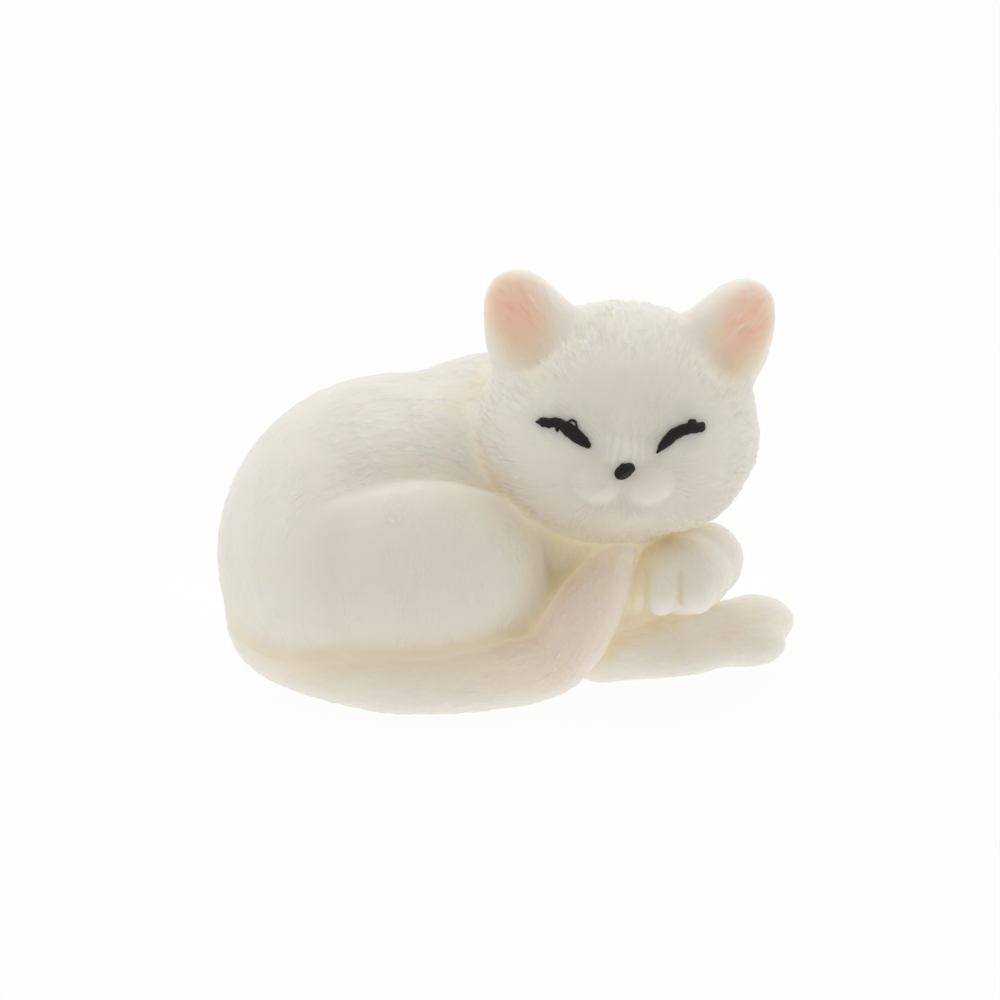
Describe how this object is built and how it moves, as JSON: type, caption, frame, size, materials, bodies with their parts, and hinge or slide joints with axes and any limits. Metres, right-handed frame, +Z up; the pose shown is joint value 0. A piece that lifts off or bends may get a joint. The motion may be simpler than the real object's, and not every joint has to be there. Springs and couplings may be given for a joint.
{
  "type": "animal figurine",
  "caption": "Small cast resin ornament of a white kitten curled up asleep, with painted closed eyes and nose, blushed ears and its tail laid round the body",
  "frame": {"origin": "on the flat underside, below the middle of the torso, so that the part stands on Z = 0", "axes": "+Z is up, -Y is the side that the face looks at, +X is the end with the head and paws"},
  "size_m": [0.05, 0.0302, 0.0367],
  "materials": {
    "resin": "milky translucent casting resin with a satin surface and fine fur strokes",
    "blushed_resin": "the same resin with pink colour dusted into the hollow of the ear",
    "enamel": "thick glossy brown-black enamel laid on by brush"
  },
  "bodies": {
    "root": {"ear_left": "blushed_resin", "ear_right": "blushed_resin", "eye_left": "enamel", "eye_right": "enamel", "nose": "enamel", "tail": "resin", "forepaw_upper": "resin", "foreleg_lower": "resin", "head": "resin", "haunch": "resin", "chest": "resin", "torso": "resin"}
  },
  "joints": []
}
